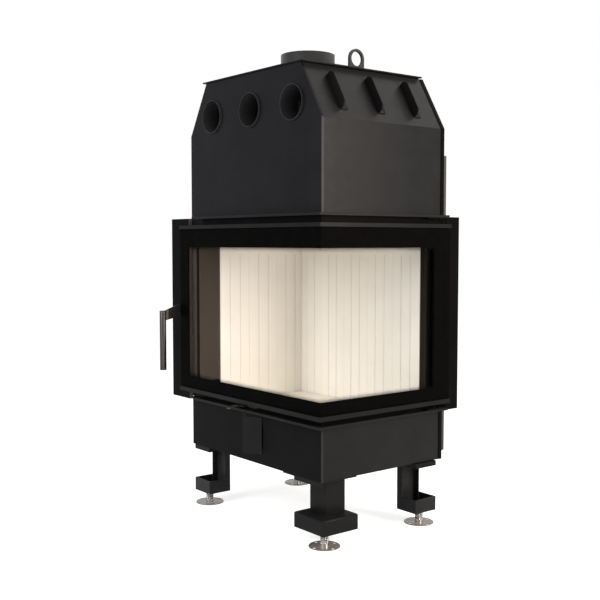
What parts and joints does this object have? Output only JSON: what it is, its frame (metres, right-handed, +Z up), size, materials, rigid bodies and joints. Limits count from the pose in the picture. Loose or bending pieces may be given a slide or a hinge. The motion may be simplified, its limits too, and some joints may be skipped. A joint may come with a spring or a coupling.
{
  "type": "corner fireplace insert",
  "caption": "Tall black steel fireplace insert with a sloping hood, flue collar, hot-air spigots, an L-shaped corner glass door, pale firebox lining and levelling feet.",
  "frame": {"origin": "middle of the outline in plan, on the floor under the feet", "axes": "+Z up, -Y out of the front pane, +X out of the right pane"},
  "size_m": [0.97, 0.785, 1.744],
  "materials": {
    "casing_paint": "matte heat-resistant black",
    "surround_paint": "matte heat-resistant black",
    "door_paint": "satin black",
    "firebox_paint": "matte dark grey",
    "leg_paint": "matte heat-resistant black",
    "handle_paint": "satin black",
    "fire_board": "matte pale cream",
    "fire_glass": "clear with a black printed border",
    "rope_seal": "woven black rope",
    "foot_chrome": "bright zinc",
    "screw_steel": "bright"
  },
  "bodies": {
    "casing": {"base_floor": "casing_paint", "base_front_panel": "casing_paint", "base_right_panel": "casing_paint", "door_seal": "rope_seal", "firebox_floor": "firebox_paint", "firebox_shell": "firebox_paint", "flue_collar": "casing_paint", "header": "firebox_paint", "hearth_slabs": "fire_board", "hinge_bracket_lower": "surround_paint", "hinge_bracket_upper": "surround_paint", "hinge_screws": "screw_steel", "hood_front_panel": "casing_paint", "hood_right_panel": "casing_paint", "inlet_cover": "casing_paint", "latch_keeper": "surround_paint", "left_flange": "surround_paint", "left_jamb": "firebox_paint", "left_panel": "casing_paint", "leg_corner": "leg_paint", "leg_front_left": "leg_paint", "leg_rear_left": "leg_paint", "leg_rear_right": "leg_paint", "lifting_eyes": "casing_paint", "lining_left_1": "fire_board", "lining_left_2": "fire_board", "lining_left_3": "fire_board", "lining_rear_1": "fire_board", "lining_rear_2": "fire_board", "lining_rear_3": "fire_board", "lining_rear_4": "fire_board", "lining_rear_5": "fire_board", "lower_baffle": "fire_board", "lower_ledge": "surround_paint", "rear_heat_shield": "casing_paint", "rear_jamb": "firebox_paint", "rear_panel": "casing_paint", "right_flange": "surround_paint", "sill": "firebox_paint", "slope_brackets_left": "casing_paint", "slope_brackets_right": "casing_paint", "smoke_chamber": "firebox_paint", "spigot_left": "casing_paint", "spigot_middle": "casing_paint", "spigot_right": "casing_paint", "top_plate": "casing_paint", "upper_ledge": "surround_paint"},
    "door": {"door_glass_front": "fire_glass", "door_glass_right": "fire_glass", "door_top_trim": "door_paint", "door_bottom_trim": "door_paint", "door_stile": "door_paint"},
    "handle": {"handle_arm": "handle_paint", "handle_grip": "handle_paint"},
    "air_control": {"air_lever": "handle_paint", "air_damper": "firebox_paint"},
    "foot_corner": {"foot_corner": "foot_chrome"},
    "foot_front_left": {"foot_front_left": "foot_chrome"},
    "foot_rear_left": {"foot_rear_left": "foot_chrome"},
    "foot_rear_right": {"foot_rear_right": "foot_chrome"}
  },
  "joints": [
    {"name": "door_hinge", "type": "hinge", "parent": "casing", "child": "door", "pos_m": [0.475, 0.3045, 0.776], "axis": [0, 0, 1], "range_deg": [0, 90]},
    {"name": "handle_lift", "type": "hinge", "parent": "door", "child": "handle", "pos_m": [-0.4056, -0.2945, 0.768], "axis": [-1, 0, 0], "range_deg": [0, 25]},
    {"name": "air_slide", "type": "slide", "parent": "casing", "child": "air_control", "axis": [1, 0, 0], "range_m": [0, 0.06]},
    {"name": "foot_corner_height", "type": "slide", "parent": "casing", "child": "foot_corner", "axis": [0, 0, 1], "range_m": [-0.02, 0.025]},
    {"name": "foot_front_left_height", "type": "slide", "parent": "casing", "child": "foot_front_left", "axis": [0, 0, 1], "range_m": [-0.02, 0.025]},
    {"name": "foot_rear_left_height", "type": "slide", "parent": "casing", "child": "foot_rear_left", "axis": [0, 0, 1], "range_m": [-0.02, 0.025]},
    {"name": "foot_rear_right_height", "type": "slide", "parent": "casing", "child": "foot_rear_right", "axis": [0, 0, 1], "range_m": [-0.02, 0.025]}
  ]
}
